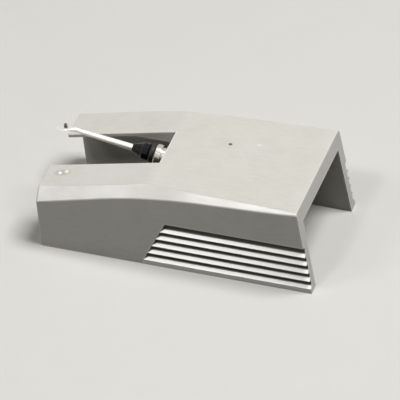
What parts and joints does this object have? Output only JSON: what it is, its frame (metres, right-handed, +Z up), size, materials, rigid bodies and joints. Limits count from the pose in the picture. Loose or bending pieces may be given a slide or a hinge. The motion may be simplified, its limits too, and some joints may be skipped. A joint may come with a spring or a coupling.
{
  "type": "turntable stylus",
  "caption": "Plug-in turntable stylus: a moulded grip with ribbed legs and a forked front carries a stem, a rubber damper and a bent cantilever with a pointed stone.",
  "frame": {"origin": "middle of the bounding box in X and Y, at the legs' free edges", "axes": "+X from the needle to the open rear end, +Y to the side without pips, +Z up from the legs' edges to the roof"},
  "size_m": [0.0247, 0.0136, 0.0082],
  "materials": {
    "grip_plastic": "satin, fine grain",
    "stem_metal": "turned",
    "clamp_brass": "turned",
    "wire_steel": "drawn",
    "damper_rubber": "matte",
    "magnet_black": "smooth",
    "holder_black": "gloss",
    "arm_aluminium": "satin",
    "shank_metal": "dark",
    "stone": "polished"
  },
  "bodies": {
    "grip": {"grip_housing": "grip_plastic", "stem_tube": "stem_metal", "wire_clamp": "clamp_brass", "tension_wire": "wire_steel"},
    "damper": {"damper_ring": "damper_rubber"},
    "arm": {"magnet_ring": "magnet_black", "arm_holder": "holder_black", "cantilever": "arm_aluminium", "stylus_shank": "shank_metal", "diamond_tip": "stone"}
  },
  "joints": [
    {"name": "side_swing", "type": "hinge", "parent": "grip", "child": "damper", "pos_m": [-0.00381, 0, 0.00663], "axis": [0.1554, 0, 0.9879], "range_deg": [-5, 5], "stiffness_Nm_per_rad": 0.003, "deforming": ["damper_ring"]},
    {"name": "up_down_swing", "type": "hinge", "parent": "damper", "child": "arm", "pos_m": [-0.00381, 0, 0.00663], "axis": [0, 1, 0], "range_deg": [-6, 4], "stiffness_Nm_per_rad": 0.003, "deforming": ["damper_ring"]}
  ]
}
